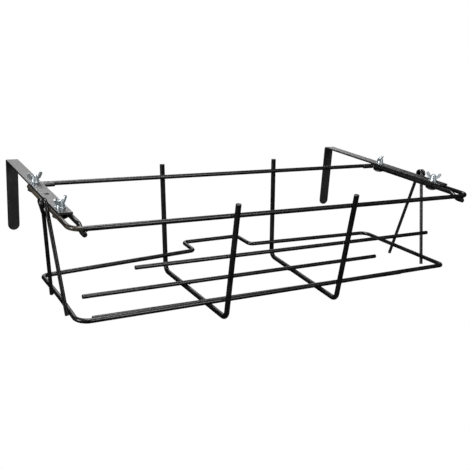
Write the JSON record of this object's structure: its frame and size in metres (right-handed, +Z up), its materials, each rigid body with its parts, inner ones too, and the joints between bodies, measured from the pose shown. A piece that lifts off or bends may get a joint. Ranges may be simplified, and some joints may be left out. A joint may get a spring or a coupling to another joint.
{
  "type": "hay rack feeder",
  "caption": "Welded wire trough rack that hangs over a rail on two flat-bar hooks; the hooks slide in side slots and are clamped with wing nuts.",
  "frame": {"origin": "middle of the bounding box, on the surface that the two ribs stand on", "axes": "+X along the rack to the right seen from the front, +Y from the front to the rail behind, +Z up"},
  "size_m": [0.6498, 0.3796, 0.1726],
  "materials": {
    "black_coated_wire": "semi-gloss black coating over round steel wire",
    "black_coated_bar": "semi-gloss black coating over flat steel bar",
    "black_hardware": "gloss black coating",
    "zinc_plated": "bright bluish zinc plating"
  },
  "bodies": {
    "rack": {"top_frame_wire": "black_coated_wire", "top_rear_wire": "black_coated_wire", "lower_frame_wire": "black_coated_wire", "front_rail_rod": "black_coated_wire", "floor_rod_front": "black_coated_wire", "floor_rod_rear": "black_coated_wire", "slide_rail_left": "black_coated_wire", "slide_rail_right": "black_coated_wire", "rib_left": "black_coated_wire", "rib_right": "black_coated_wire", "end_strut_left": "black_coated_wire", "end_strut_right": "black_coated_wire"},
    "hook_left": {"hook_bar_left": "black_coated_bar", "hook_bolt_left_front": "zinc_plated", "clamp_washer_left_front": "black_hardware", "nut_washer_left_front": "zinc_plated", "hook_bolt_left_rear": "zinc_plated", "clamp_washer_left_rear": "black_hardware", "nut_washer_left_rear": "zinc_plated"},
    "wing_nut_left_front": {"wing_nut_left_front": "zinc_plated"},
    "wing_nut_left_rear": {"wing_nut_left_rear": "zinc_plated"},
    "hook_right": {"hook_bar_right": "black_coated_bar", "hook_bolt_right_front": "zinc_plated", "clamp_washer_right_front": "black_hardware", "nut_washer_right_front": "zinc_plated", "hook_bolt_right_rear": "zinc_plated", "clamp_washer_right_rear": "black_hardware", "nut_washer_right_rear": "zinc_plated"},
    "wing_nut_right_front": {"wing_nut_right_front": "zinc_plated"},
    "wing_nut_right_rear": {"wing_nut_right_rear": "zinc_plated"}
  },
  "joints": [
    {"name": "hook_left_slide", "type": "slide", "parent": "rack", "child": "hook_left", "axis": [0, 1, 0], "range_m": [-0.04, 0]},
    {"name": "wing_nut_left_front_turn", "type": "hinge", "parent": "hook_left", "child": "wing_nut_left_front", "pos_m": [-0.30216, -0.10315, 0.163], "axis": [0, 0, 1], "continuous": true},
    {"name": "wing_nut_left_rear_turn", "type": "hinge", "parent": "hook_left", "child": "wing_nut_left_rear", "pos_m": [-0.30216, 0.03165, 0.163], "axis": [0, 0, 1], "continuous": true},
    {"name": "hook_right_slide", "type": "slide", "parent": "rack", "child": "hook_right", "axis": [0, 1, 0], "range_m": [-0.04, 0]},
    {"name": "wing_nut_right_front_turn", "type": "hinge", "parent": "hook_right", "child": "wing_nut_right_front", "pos_m": [0.30234, -0.10315, 0.163], "axis": [0, 0, 1], "continuous": true},
    {"name": "wing_nut_right_rear_turn", "type": "hinge", "parent": "hook_right", "child": "wing_nut_right_rear", "pos_m": [0.30234, 0.03165, 0.163], "axis": [0, 0, 1], "continuous": true}
  ]
}
